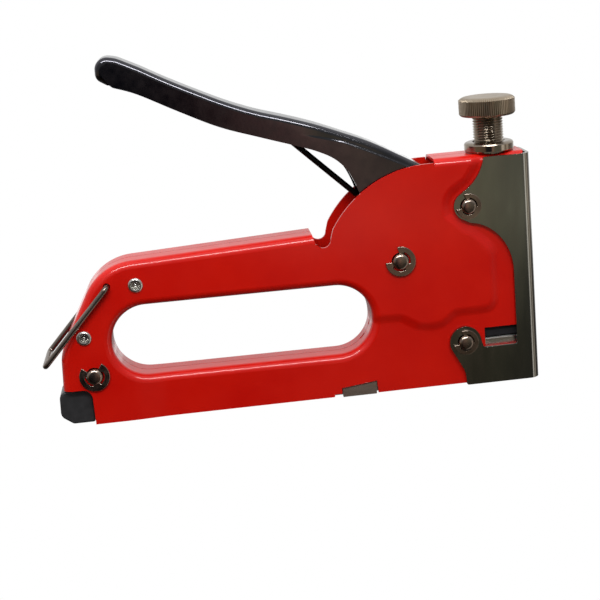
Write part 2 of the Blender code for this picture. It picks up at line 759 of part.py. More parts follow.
def mainspring(steel):
    """Compression spring between the hammer's table and the seat under the knob."""
    low, high = HAMMER_TABLE + GAP + SPRING_WIRE, SEAT_BASE - GAP - SPRING_WIRE
    points = list(coil_points((COLUMN_X, 0), SPRING_RADIUS, low, high, SPRING_TURNS, 12))
    wire("mainspring", points, SPRING_WIRE, steel, (COLUMN_X, 0, SEAT_BASE))


def pusher_spring(steel):
    """Long spring round the guide rod behind the pusher."""
    points = [(along, y, z) for y, z, along in
              coil_points((0, ROD_Z), COIL_RADIUS, COIL_FRONT, COIL_REAR, COIL_TURNS, 6)]
    wire("pusher_spring", points, COIL_WIRE, steel, (COIL_FRONT, 0, ROD_Z), 0)


# ---------------------------------------------------------------- knob column

def knob_column(nickel, steel):
    """Tension knob, the bush it screws through, and the seat it presses on."""
    up = Vector((0, 0, 1))
    foot = SEAT_BASE + SEAT_FLANGE + STEM_FOOT
    turned("tension_knob",
           [(0, KNOB_TOP), (KNOB_RADIUS - 1.6, KNOB_TOP), (KNOB_RADIUS - 0.7, KNOB_TOP - 0.5),
            (KNOB_RADIUS, KNOB_TOP - 1.2), (KNOB_RADIUS, KNOB_BASE + 1.0),
            (KNOB_RADIUS - 0.8, KNOB_BASE), (STEM_RADIUS, KNOB_BASE), (STEM_RADIUS, foot + 0.8),
            (STEM_RADIUS - 0.8, foot), (0, foot)],
           (COLUMN_X, 0, 0), up, 32, nickel)
    bore, neck = STEM_RADIUS + GAP, BUSH_HOLE - GAP
    turned("knob_bush",
           [(bore, BUSH_TOP), (BUSH_RADIUS - 0.8, BUSH_TOP), (BUSH_RADIUS, BUSH_TOP - 0.8),
            (BUSH_RADIUS, SHELL_TOP + GAP + 0.3), (BUSH_RADIUS - 0.3, SHELL_TOP + GAP),
            (neck, SHELL_TOP + GAP), (neck, SHELL_TOP - BUSH_DEPTH), (bore, SHELL_TOP - BUSH_DEPTH),
            (bore, BUSH_TOP)],
           (COLUMN_X, 0, 0), up, 28, nickel)
    turned("spring_seat",
           [(0, SEAT_BASE + SEAT_FLANGE), (SEAT_RADIUS, SEAT_BASE + SEAT_FLANGE),
            (SEAT_RADIUS, SEAT_BASE), (SEAT_SPIGOT, SEAT_BASE),
            (SEAT_SPIGOT, SEAT_BASE - SPIGOT_DEPTH), (0, SEAT_BASE - SPIGOT_DEPTH)],
           (COLUMN_X, 0, 0), up, 20, steel)


# ---------------------------------------------------------------- hammer column

def hammer_column(steel, dark, rubber):
    """Hammer with its rear shelf, driver blade, and the bumper it lands on."""
    wall = HAMMER_REAR + HAMMER_WALL
    outline = [(HAMMER_REAR, HAMMER_BASE), (HAMMER_FRONT, HAMMER_BASE),
               (HAMMER_FRONT, HAMMER_TABLE), (wall, HAMMER_TABLE), (wall, SHELF_TOP),
               (SHELF_REAR, SHELF_TOP), (SHELF_REAR, SHELF_BASE), (HAMMER_REAR, SHELF_BASE)]
    prism("hammer", outline, -HAMMER_HALF, HAMMER_HALF, dark, (COLUMN_X, 0, HAMMER_BASE))
    block("driver_blade", (BLADE_REAR, -BLADE_HALF, BLADE_BASE),
          (BLADE_FRONT, BLADE_HALF, HAMMER_TABLE), steel)
    block("bumper", (BUMPER_REAR, -HAMMER_HALF, BUMPER_BASE),
          (BUMPER_FRONT, HAMMER_HALF, HAMMER_BASE - GAP), rubber)


def pivot_sleeve(steel):
    """Sleeve that centres the torsion coil on the pivot pin."""
    bore, outside, half = PIVOT_RADIUS + GAP, 6.9, 5.6
    turned("pivot_sleeve",
           [(bore, half), (outside, half), (outside, -half), (bore, -half), (bore, half)],
           (PIVOT[0], 0, PIVOT[1]), Vector((0, 1, 0)), 16, steel)


# ---------------------------------------------------------------- magazine

def channel_section(half, top, low, sheet, bend=0.7):
    """Upside-down U section with bevelled bends."""
    return [(-half, low), (-half + sheet, low), (-half + sheet, top - sheet),
            (half - sheet, top - sheet), (half - sheet, low), (half, low), (half, top - bend),
            (half - bend, top), (bend - half, top), (-half, top - bend)]


def magazine(steel, dark, black):
    """Fixed channel, and the rail, rod, pusher and end cap that slide out to the rear."""
    channel = bar("magazine_channel", channel_section(CHANNEL_HALF, CHANNEL_TOP, 0.8, 1.0),
                  CHANNEL_REAR, CHANNEL_FRONT, steel, (CHANNEL_REAR, 0, 0))
    head = bar("channel_head", channel_section(CHANNEL_HALF, CHANNEL_HEAD_TOP, 13.0, 1.0),
               HEAD_REAR, CHANNEL_FRONT, steel, (HEAD_REAR, 0, 0))
    cut(channel, head, "UNION")
    lug = prism("channel_lug", [(-75.6, 0.2), (-62.7, 0.2), (-62.6, 4.9), (-75.6, 3.4)],
                -LUG_HALF, LUG_HALF, steel, (-69, 0, 0))
    inner = LUG_HALF - LUG_SHEET
    cut(lug, block("lug_gap", (-80, -inner, 0), (-60, inner, 8), steel))
    cut(channel, lug, "UNION")
    cut(channel, block("pin_slot", (-31.2, -9, 13.3), (-24.0, 9, 20), steel))

    rail = bar("feed_rail", channel_section(RAIL_HALF, RAIL_TOP, 1.2, 0.8), RAIL_REAR, RAIL_FRONT,
               steel, (RAIL_REAR, 0, 0))
    cut(rail, block("rail_slot", (-150, -1.4, 10.6), (-9.6, 1.4, 15), steel))

    saddle = bar("pusher", channel_section(PUSHER_HALF, PUSHER_TOP, 3.0, 0.8), PUSHER_REAR,
                 PUSHER_FRONT, dark, (PUSHER_REAR, 0, 0))
    tongue = block("pusher_tongue", (-16.0, -1.0, 8.0), (-11.0, 1.0, 12.7), dark)
    eye = block("pusher_eye", (-16.0, -2.8, 3.6), (-11.0, 2.8, 10.0), dark)
    bore = turned("pusher_bore", [(0, 5), (ROD_RADIUS + GAP, 5), (ROD_RADIUS + GAP, -5), (0, -5)],
                  (-13.5, 0, ROD_Z), Vector((1, 0, 0)), 12, dark)
    cut(saddle, tongue, "UNION")
    cut(saddle, eye, "UNION")
    cut(saddle, bore)

    half = ROD_LENGTH / 2
    turned("guide_rod", [(0, half), (ROD_RADIUS, half), (ROD_RADIUS, -half), (0, -half)],
           (ROD_MIDDLE, 0, ROD_Z), Vector((1, 0, 0)), 10, steel)

    cap = prism("rail_end_cap",
                filleted([(-169.8, 0.8, 0), (-169.8, 11.5, 0), (-171.5, 13.7, 0), (-182.0, 13.7, 3),
                          (-182.4, 4.0, 3), (-178.0, 0.8, 2), (-172, 0.8, 0)]),
                -CAP_HALF, CAP_HALF, black, (-176, 0, 7))
    plug = block("cap_plug", (-171, -3.3, 2.2), (-164.8, 3.3, 10.7), black)
    cut(cap, plug, "UNION")


# ---------------------------------------------------------------- the tool

def build():
    """Clear the scene and make every piece."""
    for old in list(bpy.data.objects):
        bpy.data.objects.remove(old)
    red = material("red_paint", (0.60, 0.02, 0.015), 0.25, 0.0)
    bright = material("bright_steel", (0.62, 0.60, 0.56), 0.22, 1.0)
    dark = material("dark_steel", (0.20, 0.19, 0.18), 0.35, 1.0)
    polished = material("polished_steel", (0.30, 0.29, 0.28), 0.18, 1.0)
    nickel = material("nickel_plate", (0.55, 0.51, 0.44), 0.28, 1.0)
    spring = material("spring_steel", (0.03, 0.03, 0.03), 0.4, 0.6)
    rubber = material("black_rubber", (0.02, 0.02, 0.022), 0.6, 0.0)

    shells(red)
    nose_cover(polished)
    squeeze_lever(polished)
    fasteners(dark, bright)
    lock_bail(dark)
    lever_return_spring(spring)
    mainspring(spring)
    pivot_sleeve(bright)
    knob_column(nickel, bright)
    hammer_column(bright, dark, rubber)
    magazine(bright, dark, rubber)
    pusher_spring(spring)


build()
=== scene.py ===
"""Looks for the hand staple gun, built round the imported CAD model.

Sizes are in millimetres. x is measured from a line just behind the front of the nose; z is the
height above the base; y is zero at the seam. place() turns a point into scene metres.
"""
import math

import bmesh
import bpy
from mathutils import Matrix, Vector
from mathutils.geometry import delaunay_2d_cdt


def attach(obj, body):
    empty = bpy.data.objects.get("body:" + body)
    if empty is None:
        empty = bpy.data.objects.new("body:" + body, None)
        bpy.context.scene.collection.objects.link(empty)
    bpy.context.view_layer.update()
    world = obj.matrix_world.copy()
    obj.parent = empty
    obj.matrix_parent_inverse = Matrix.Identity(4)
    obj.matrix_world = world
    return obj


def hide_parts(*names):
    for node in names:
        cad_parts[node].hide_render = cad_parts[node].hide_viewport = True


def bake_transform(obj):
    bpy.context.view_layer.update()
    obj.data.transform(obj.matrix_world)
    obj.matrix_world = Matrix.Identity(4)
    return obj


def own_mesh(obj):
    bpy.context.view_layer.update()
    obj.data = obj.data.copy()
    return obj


MM = 0.001
WELD = 1e-6                    # metres between points that are joined
GAP = 0.3                      # clearance between pieces
SHARP_ANGLE = 35               # degrees above which an edge stays sharp
COVER_FRONT = 0.7              # nose front
MIDDLE_X = -92.85              # middle of the tool

# Half shells
SHELL_HALF = 9.2
SHELL_SHEET = 1.0
SHELL_FOLD = 3.0
RECESS = 0.9
SHELL_BASE = 0.5
SHELL_TOP = 87.6
SHELL_FRONT = -3.2
LEDGE_FRONT = -1.4
HANDLE_REAR = -180.2
SHOULDER = (-37.6, 43.0)
SHOULDER_RADIUS = 43.3
GRIP_FRONT = (-75.7, 30.2)
GRIP_REAR = (-146.6, 30.6)
GRIP_RADIUS = 13.5
STEP_HALF = 2.2
RAMP_X = -148.0
RAMP_HALF = 9.0
SEAM_SLOTS = (-16, -42)        # degrees round the front end of the finger hole
BUSH_HOLE = 6.9                # radius
BUSH_DEPTH = 4.0

# Nose cover
COVER_HALF = 9.7
COVER_SHEET = 1.2
COVER_FOLD = 3.9
COVER_TOP = 86.8

# Pins, clips and rivets
PIVOT = (-50.4, 50.9)
REAR_PIN = (-167.9, 19.3)
NOSE_UPPER = (-23.7, 69.2)
NOSE_LOWER = (-27.6, 17.1)
PIVOT_RADIUS = 3.0
NOSE_PIN_RADIUS = 2.8
PIN_GROOVE = 0.7               # depth of the groove that a clip sits in
PIN_END = 1.1                  # from the clip to the end of its pin
CLIP_SHEET = 0.8
PIVOT_CLIP_RADIUS = 5.65
NOSE_CLIP_RADIUS = 4.8
RIVET_UPPER = (-149.1, 52.2)
RIVET_LOWER = (-170.1, 34.2)
RIVET_RADIUS = 1.9
RIVET_HEAD = 2.8

# Lever
LEVER_HALF = 7.6
LEVER_NARROW = 0.4
LEVER_SHEET = 1.4
LEVER_FOLD = 2.0
LEVER_CREASE_HALF = 0.5
LEVER_BOSS = 10.0
ARM_REACH = 25.5
ARM_ANGLE = -15.0
ARM_TIP_RADIUS = 2.2

# Lock bail and return spring
BAIL_HINGE = (-159.6, 52.7)
BAIL_WIRE = 1.05
BAIL_HALF = 11.0
BAIL_ANGLE = 226.9
BAIL_LENGTH = 37.6
BAIL_BEND = 1.6
RETURN_MEAN = 8.6
RETURN_WIRE = 1.1
RETURN_HALF = 3.9
RETURN_TURNS = 3.1
RETURN_LEAVE = 45.6
RETURN_HOOK = 7.0

# Knob column
COLUMN_X = -12.7
KNOB_RADIUS = 10.45
KNOB_BASE = 101.1
KNOB_TOP = 108.2
STEM_RADIUS = 5.7
BUSH_RADIUS = 9.2
BUSH_TOP = 91.4
SEAT_BASE = 77.5
SPRING_RADIUS = 6.0
SPRING_WIRE = 0.95
SPRING_TURNS = 8.5
HAMMER_TABLE = 33.6
HAMMER_LIFT = 13.3             # travel of the hammer and of the spring seat
SEAT_SLIDE = 8.0

# Magazine
ROD_Z = 7.0
COIL_RADIUS = 2.1
COIL_WIRE = 0.4
COIL_FRONT = -17.1
COIL_REAR = -163.4
COIL_TURNS = 24
CAP_HALF = 6.8

# Studio, in metres
LIT_POINT = Vector((0, 0, 0.05))
DOME_RADIUS = 4
FLOOR_Z = -0.0005

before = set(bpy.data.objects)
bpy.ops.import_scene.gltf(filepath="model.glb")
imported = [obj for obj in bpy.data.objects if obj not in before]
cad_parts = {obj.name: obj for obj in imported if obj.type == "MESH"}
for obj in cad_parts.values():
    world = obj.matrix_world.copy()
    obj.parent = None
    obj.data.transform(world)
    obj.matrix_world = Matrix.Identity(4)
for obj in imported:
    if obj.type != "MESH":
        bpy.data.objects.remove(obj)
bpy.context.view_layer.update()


# ---------------------------------------------------------------- helpers

def new_object(name, bm, finish=None):
    """Object in the scene from a bmesh, which is used up."""
    mesh = bpy.data.meshes.new(name)
    bm.to_mesh(mesh)
    bm.free()
    if finish:
        mesh.materials.append(finish)
    made = bpy.data.objects.new(name, mesh)
    bpy.context.scene.collection.objects.link(made)
    return made


def colour_ramp(tree, value, stops):
    """Colour ramp over a value from 0 to 1; stops are (position, colour)."""
    ramp = tree.nodes.new("ShaderNodeValToRGB")
    elements = ramp.color_ramp.elements
    while len(elements) < len(stops):
        elements.new(0.5)
    for element, (position, colour) in zip(elements, stops):
        element.position = position
        element.color = (*colour, 1)
    tree.links.new(value, ramp.inputs["Fac"])
    return ramp.outputs["Color"]


# ---------------------------------------------------------------- camera and light

def add_camera():
    """Camera at the photograph's angle: a little above, a little from the left, slightly rolled."""
    azimuth, elevation, roll = (math.radians(angle) for angle in (4.33, -14.0, 4.99))
    position = Matrix.Translation((-0.03385, -0.5062, 0.1644))
    forward = Vector((math.sin(azimuth) * math.cos(elevation),
                      math.cos(azimuth) * math.cos(elevation), math.sin(elevation)))
    right = forward.cross(Vector((0, 0, 1))).normalized()
    right = Matrix.Rotation(roll, 3, forward) @ right
    up = right.cross(forward)
    data = bpy.data.cameras.new("camera")
    data.lens = 82.68
    data.clip_end = 20
    made = bpy.data.objects.new("camera", data)
    made.matrix_world = position @ Matrix((right, up, -forward)).transposed().to_4x4()
    bpy.context.scene.collection.objects.link(made)
    bpy.context.scene.camera = made


def add_light(name, position, size, power, shines=True):
    """Soft rectangular light aimed at the tool; shines tells whether it is seen in reflections."""
    data = bpy.data.lights.new(name, "AREA")
    data.shape = "RECTANGLE"
    data.size, data.size_y = size
    data.energy = power
    made = bpy.data.objects.new(name, data)
    made.location = position
    made.visible_glossy = shines
    aim = LIT_POINT - Vector(position)
    made.rotation_euler = aim.to_track_quat("-Z", "Y").to_euler()
    bpy.context.scene.collection.objects.link(made)


def add_room():
    """World that lights the tool and shows in its reflections: a dim room, lighter above."""
    world = bpy.data.worlds.new("studio")
    world.use_nodes = True
    tree = world.node_tree
    nodes, links = tree.nodes, tree.links

    def feed(entry, value):
        """Gives an input a number, or the output of another node."""
        if isinstance(value, bpy.types.NodeSocket):
            links.new(value, entry)
        else:
            entry.default_value = value

    def calculated(operation, *values):
        """Result of a maths node; each value is a number or an output."""
        made = nodes.new("ShaderNodeMath")
        made.operation = operation
        for entry, value in zip(made.inputs, values):
            feed(entry, value)
        return made.outputs["Value"]

    def mixed(kind, first, second, share=1.0):
        """Two colours blended; share is a number or an output."""
        made = nodes.new("ShaderNodeMixRGB")
        made.blend_type = kind
        for entry, value in (("Fac", share), ("Color1", first), ("Color2", second)):
            feed(made.inputs[entry], value)
        return made.outputs["Color"]

    def ramp(value, low, high, stops):
        """Colour ramp over a value that runs from low to high; stops are (value, colour)."""
        scaled = nodes.new("ShaderNodeMapRange")
        scaled.inputs["From Min"].default_value = low
        scaled.inputs["From Max"].default_value = high
        links.new(value, scaled.inputs["Value"])
        return colour_ramp(tree, scaled.outputs["Result"],
                           [((position - low) / (high - low), colour) for position, colour in stops])

    def greys(value, low, high, stops):
        """Ramp of greys; stops are (value, level)."""
        return ramp(value, low, high, [(position, (level,) * 3) for position, level in stops])

    direction = nodes.new("ShaderNodeSeparateXYZ")
    links.new(nodes.new("ShaderNodeTexCoord").outputs["Generated"], direction.inputs["Vector"])
    x, y, z = direction.outputs
    turn = calculated("ARCTAN2", x, calculated("MULTIPLY", y, -1))

    def walls(stops):
        """Ramp round the room; stops are (degrees, colour), with 0 behind the camera, +X at 90."""
        return ramp(turn, -math.pi, math.pi, [(math.radians(angle), colour) for angle, colour in stops])

    room = walls([
        (-180, (1.6, 1.6, 1.6)), (-125, (1.2, 1.18, 1.16)), (-85, (0.36, 0.29, 0.22)),
        (-60, (0.36, 0.26, 0.18)), (-32, (0.30, 0.21, 0.15)),
        (-26, (0.02, 0.02, 0.026)), (-2, (0.02, 0.022, 0.034)), (1.8, (0.04, 0.027, 0.035)),
        (4.4, (0.84, 0.44, 0.38)), (6.4, (0.98, 0.62, 0.5)), (9.5, (0.5, 0.44, 0.3)),
        (11, (0.33, 0.315, 0.22)), (13, (0.32, 0.31, 0.22)), (14.5, (0.29, 0.29, 0.24)),
        (50, (0.24, 0.24, 0.2)),
        (90, (0.24, 0.19, 0.15)), (120, (0.5, 0.48, 0.46)), (150, (1.6, 1.6, 1.6))])
    panels = walls([
        (46, (0.0, 0.0, 0.0)), (50, (1.0, 0.95, 0.92)), (62, (0.9, 0.86, 0.82)),
        (66, (0.1, 0.08, 0.06)), (74, (0.16, 0.12, 0.09)), (79, (0.6, 0.56, 0.5)),
        (86, (0.6, 0.56, 0.5)), (92, (0.0, 0.0, 0.0))])
    fall = greys(z, -1, 1, [(-1, 0.1), (-0.33, 0.15), (-0.26, 0.2), (-0.22, 0.36), (-0.19, 1.0),
                            (-0.15, 0.58), (-0.1, 0.8), (0, 1.0)])
    sky = greys(z, -1, 1, [(-0.04, 0.0), (-0.01, 1.0)])
    lift = calculated("MULTIPLY_ADD", z, 0.8, y)
    upper = greys(lift, -1, 1.3, [(-1, 0.24), (-0.1, 0.34), (0.35, 0.72), (0.6, 0.82)])
    lower = mixed("ADD", mixed("MULTIPLY", room, fall), panels)
    background = nodes["Background"]
    links.new(mixed("MIX", lower, upper, sky), background.inputs["Color"])
    background.inputs["Strength"].default_value = 1.0
    bpy.context.scene.world = world
    bpy.context.scene.view_settings.view_transform = "Standard"


def add_backdrop():
    """White dome, seen by the camera but not reflected, closed by a floor just below the tool."""
    bm = bmesh.new()
    bmesh.ops.create_uvsphere(bm, u_segments=64, v_segments=32, radius=DOME_RADIUS)
    for vert in bm.verts:
        vert.co.z = max(vert.co.z, FLOOR_Z)
    paper = bpy.data.materials.new("paper")
    paper.use_nodes = True
    shader = paper.node_tree.nodes["Principled BSDF"]
    shader.inputs["Base Color"].default_value = (0, 0, 0, 1)
    shader.inputs["Specular IOR Level"].default_value = 0
    shader.inputs["Emission Color"].default_value = (1, 1, 1, 1)
    shader.inputs["Emission Strength"].default_value = 1
    backdrop = new_object("backdrop", bm, paper)
    backdrop.visible_glossy = False
    backdrop.visible_diffuse = False
    backdrop.visible_shadow = False


add_camera()
add_room()
add_light("strip", (-0.05, -0.75, 0.85), (1.1, 0.16), 12)
add_light("key", (-0.5, -0.9, 0.5), (0.5, 0.5), 3.4, shines=False)
add_light("top", (-0.05, -0.1, 0.9), (0.8, 0.4), 7, shines=False)
add_backdrop()


# ---------------------------------------------------------------- materials

class Finish:
    """Procedural material built up from noise layers on object coordinates."""

    def __init__(self, name, metallic, coat=0.0):
        self.material = bpy.data.materials.new(name)
        self.material.use_nodes = True
        self.nodes = self.material.node_tree.nodes
        self.links = self.material.node_tree.links
        self.shader = self.nodes["Principled BSDF"]
        self.shader.inputs["Metallic"].default_value = metallic
        self.shader.inputs["Coat Weight"].default_value = coat
        self.shader.inputs["Coat Roughness"].default_value = 0.04
        self.coords = self.nodes.new("ShaderNodeTexCoord").outputs["Object"]
        self.height = None

    def noise(self, scale, detail=4.0, stretch=(1, 1, 1)):
        """Noise value; scale is in features per metre, stretch multiplies it per axis."""
        mapping = self.nodes.new("ShaderNodeMapping")
        mapping.inputs["Scale"].default_value = stretch
        self.links.new(self.coords, mapping.inputs["Vector"])
        noise = self.nodes.new("ShaderNodeTexNoise")
        noise.inputs["Scale"].default_value = scale
        noise.inputs["Detail"].default_value = detail
        self.links.new(mapping.outputs["Vector"], noise.inputs["Vector"])
        return noise.outputs["Fac"]

    def colour(self, value, dark, light, low=0.3, high=0.7):
        """Base colour that runs from dark to light between two values of the noise."""
        blend = colour_ramp(self.material.node_tree, value, [(low, dark), (high, light)])
        self.links.new(blend, self.shader.inputs["Base Color"])

    def roughness(self, value, low, high):
        """Roughness that runs from low to high over the middle of the noise."""
        spread = self.nodes.new("ShaderNodeMapRange")
        for entry, level in (("From Min", 0.3), ("From Max", 0.7), ("To Min", low), ("To Max", high)):
            spread.inputs[entry].default_value = level
        self.links.new(value, spread.inputs["Value"])
        self.links.new(spread.outputs["Result"], self.shader.inputs["Roughness"])

    def bump(self, value, depth):
        """Adds a bump layer of the given depth in millimetres."""
        bump = self.nodes.new("ShaderNodeBump")
        bump.inputs["Strength"].default_value = 1.0
        bump.inputs["Distance"].default_value = depth * MM
        self.links.new(value, bump.inputs["Height"])
        if self.height:
            self.links.new(self.height, bump.inputs["Normal"])
        self.height = bump.outputs["Normal"]
        self.links.new(self.height, self.shader.inputs["Normal"])


def red_paint():
    """Glossy enamel with a little orange peel."""
    made = Finish("red_paint", 0.0, 0.5)
    made.shader.inputs["Specular IOR Level"].default_value = 0.15
    made.colour(made.noise(60, 3), (0.37, 0.003, 0.001), (0.41, 0.005, 0.0015))
    made.roughness(made.noise(140, 6), 0.3, 0.4)
    made.bump(made.noise(420, 2), 0.005)
    made.bump(made.noise(70, 2), 0.04)
    return made.material


def plated(name, dark, light, rough, grain=(1, 1, 1)):
    """Polished plated steel with faint streaks along the grain."""
    made = Finish(name, 1.0)
    made.colour(made.noise(110, 6, grain), dark, light, 0.32, 0.68)
    made.roughness(made.noise(320, 8, grain), *rough)
    made.bump(made.noise(900, 3, grain), 0.004)
    return made.material


def rubber(name, colour, rough):
    """Fine satin black."""
    made = Finish(name, 0.0)
    made.shader.inputs["Specular IOR Level"].default_value = 0.3
    made.colour(made.noise(400, 4), colour, tuple(1.5 * level for level in colour))
    made.roughness(made.noise(900, 4), rough - 0.08, rough + 0.08)
    made.bump(made.noise(1800, 2), 0.01)
    return made.material


RED = red_paint()
COVER = plated("cover_plate", (0.27, 0.265, 0.24), (0.33, 0.325, 0.29), (0.08, 0.16), (1, 1, 0.2))
LEVER = plated("lever_plate", (0.072, 0.072, 0.082), (0.092, 0.091, 0.1), (0.1, 0.18))
NICKEL = plated("nickel", (0.27, 0.225, 0.175), (0.34, 0.29, 0.235), (0.12, 0.2))
KNURLED = plated("knurled_nickel", (0.37, 0.3, 0.22), (0.46, 0.38, 0.285), (0.28, 0.4))
BRONZE = plated("bronzed_wire", (0.17, 0.14, 0.12), (0.27, 0.23, 0.2), (0.2, 0.34))
BRIGHT = plated("bright_steel", (0.56, 0.55, 0.52), (0.74, 0.73, 0.69), (0.18, 0.3), (0.3, 1, 1))
DARK = plated("dark_steel", (0.24, 0.19, 0.155), (0.36, 0.29, 0.24), (0.16, 0.28))
WIRE = plated("spring_wire", (0.012, 0.012, 0.012), (0.03, 0.03, 0.03), (0.32, 0.5))
RUBBER = rubber("rubber", (0.005, 0.005, 0.006), 0.6)
PLASTIC = rubber("plastic", (0.016, 0.016, 0.017), 0.38)


# ---------------------------------------------------------------- points and outlines

def place(x, y, z):
    """Scene point, in metres, of a point given in millimetres from the x line and the base."""
    return Vector(((x - MIDDLE_X) * MM, y * MM, z * MM))


def arc(centre, radius, start, end, steps, radius_z=None):
    """Points along a circle, or an ellipse when radius_z is given, between two angles in degrees."""
    radius_z = radius if radius_z is None else radius_z
    points = []
    for step in range(steps + 1):
        angle = math.radians(start + (end - start) * step / steps)
        points.append((centre[0] + radius * math.cos(angle), centre[1] + radius_z * math.sin(angle)))
    return points


def filleted(corners, step_angle=7.0):
    """Polyline through corners (x, z, radius) with each corner rounded to its radius."""
    points = []
    for index, (x, z, radius) in enumerate(corners):
        if radius == 0 or index in (0, len(corners) - 1):
            points.append((x, z))
            continue
        corner = Vector((x, z))
        before = (Vector(corners[index - 1][:2]) - corner).normalized()
        after = (Vector(corners[index + 1][:2]) - corner).normalized()
        half = before.angle(after) / 2
        centre = corner + (before + after).normalized() * (radius / math.sin(half))
        start = corner + before * (radius / math.tan(half)) - centre
        turn = start.angle_signed(corner + after * (radius / math.tan(half)) - centre)
        steps = max(1, round(abs(math.degrees(turn)) / step_angle))
        for step in range(steps + 1):
            angle = -turn * step / steps
            cosine, sine = math.cos(angle), math.sin(angle)
            points.append((centre.x + start.x * cosine - start.y * sine,
                           centre.y + start.x * sine + start.y * cosine))
    return points


def smooth(points, steps):
    """Catmull-Rom curve through the points, with the given steps in each span."""
    guide = [points[0]] + list(points) + [points[-1]]
    curve = []
    for a, b, c, d in zip(guide, guide[1:], guide[2:], guide[3:]):
        for step in range(steps):
            t = step / steps
            curve.append(tuple(
                0.5 * (2 * q + (r - p) * t + (2 * p - 5 * q + 4 * r - s) * t ** 2
                       + (3 * q - p - 3 * r + s) * t ** 3)
                for p, q, r, s in zip(a, b, c, d)))
    curve.append(tuple(points[-1]))
    return curve


def offset_line(points, distance):
    """Polyline moved sideways to its left by the distance."""
    moved = []
    for index, point in enumerate(points):
        before = Vector(points[max(index - 1, 0)])
        after = Vector(points[min(index + 1, len(points) - 1)])
        along = (after - before).normalized()
        moved.append((point[0] - along.y * distance, point[1] + along.x * distance))
    return moved


def inside(point, loops):
    """True where the point lies within the loops, holes counted out."""
    crossings = 0
    for loop in loops:
        for (ax, az), (bx, bz) in zip(loop, loop[1:] + loop[:1]):
            if (az > point[1]) != (bz > point[1]):
                if point[0] < ax + (point[1] - az) / (bz - az) * (bx - ax):
                    crossings += 1
    return crossings % 2 == 1


def distance_to_line(point, line):
    """Shortest distance from a point to a polyline."""
    here = Vector(point)
    best = math.inf
    for start, end in zip(line, line[1:]):
        a, b = Vector(start), Vector(end)
        share = max(0.0, min(1.0, (here - a).dot(b - a) / (b - a).length_squared))
        best = min(best, (here - a - (b - a) * share).length)
    return best


def eased(share):
    """Smooth step from 0 to 1."""
    share = max(0.0, min(1.0, share))
    return share * share * (3 - 2 * share)


# ---------------------------------------------------------------- pieces

def shade(mesh, angle=SHARP_ANGLE):
    """Smooth shading, with edges sharper than the angle left sharp."""
    mesh.shade_smooth()
    mesh.set_sharp_from_angle(angle=math.radians(angle))


def piece(name, bm, finish, body, node, angle=SHARP_ANGLE):
    """Piece from a bmesh in scene metres, riding on a body and standing for a CAD node."""
    made = new_object(name, bm, finish)
    shade(made.data, angle)
    if body:
        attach(made, body)
    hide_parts(node)
    return made


def soften(made, width, segments=2):
    """Small rounded edges."""
    bevel = made.modifiers.new("edges", "BEVEL")
    bevel.width = width * MM
    bevel.segments = segments
    bevel.limit_method = "ANGLE"
    bevel.angle_limit = math.radians(40)
    weigh(made)


def weigh(made):
    """Shading that keeps flat faces flat."""
    weighted = made.modifiers.new("shading", "WEIGHTED_NORMAL")
    weighted.keep_sharp = True
    weighted.weight = 80


def prism(outline, y_low, y_high):
    """Outline in the side view, extruded across the tool."""
    bm = bmesh.new()
    face = bm.faces.new([bm.verts.new(place(x, y_low, z)) for x, z in outline])
    side = bmesh.ops.extrude_face_region(bm, geom=[face])
    verts = [item for item in side["geom"] if isinstance(item, bmesh.types.BMVert)]
    bmesh.ops.translate(bm, verts=verts, vec=(0, (y_high - y_low) * MM, 0))
    bmesh.ops.recalc_face_normals(bm, faces=bm.faces)
    return bm


def turned(profile, centre, axis, segments):
    """Profile of (radius, height along the axis) spun about the axis through the centre."""
    across = Vector((0, 0, 1)) if axis.z == 0 else Vector((1, 0, 0))
    bm = bmesh.new()
    middle = place(*centre)
    verts = [bm.verts.new(middle + (across * radius + axis * height) * MM)
             for radius, height in profile]
    edges = [bm.edges.new(pair) for pair in zip(verts, verts[1:])]
    bmesh.ops.spin(bm, geom=verts + edges, cent=middle, axis=axis,
                   angle=2 * math.pi, steps=segments, use_merge=True)
    bmesh.ops.remove_doubles(bm, verts=bm.verts, dist=WELD)
    bmesh.ops.recalc_face_normals(bm, faces=bm.faces)
    return bm


def join_rings(bm, rings):
    """Faces between rings of vertices; a ring may be one vertex repeated."""
    for ring, following in zip(rings, rings[1:]):
        for step in range(len(ring)):
            after = (step + 1) % len(ring)
            corners = list(dict.fromkeys((ring[step], ring[after], following[after], following[step])))
            if len(corners) > 2:
                bm.faces.new(corners)


def tube(points, radius, sides=10):
    """Round wire with closed ends through points in millimetres."""
    bm = bmesh.new()
    places = [place(*point) for point in points]
    side = None
    rings = []
    for index, here in enumerate(places):
        along = (places[min(index + 1, len(places) - 1)] - places[max(index - 1, 0)]).normalized()
        if side is None:
            side = along.orthogonal().normalized()
        side = (side - along * side.dot(along)).normalized()
        other = along.cross(side)
        rings.append([bm.verts.new(here + (side * math.cos(turn) + other * math.sin(turn)) * radius * MM)
                      for turn in (2 * math.pi * step / sides for step in range(sides))])
    join_rings(bm, rings)
    bm.faces.new(rings[0][::-1])
    bm.faces.new(rings[-1])
    bmesh.ops.recalc_face_normals(bm, faces=bm.faces)
    return bm


# ---------------------------------------------------------------- folded sheet metal

def plain_run(points):
    """Part of an outline where the sheet simply ends."""
    return [(point, point, False) for point in points]


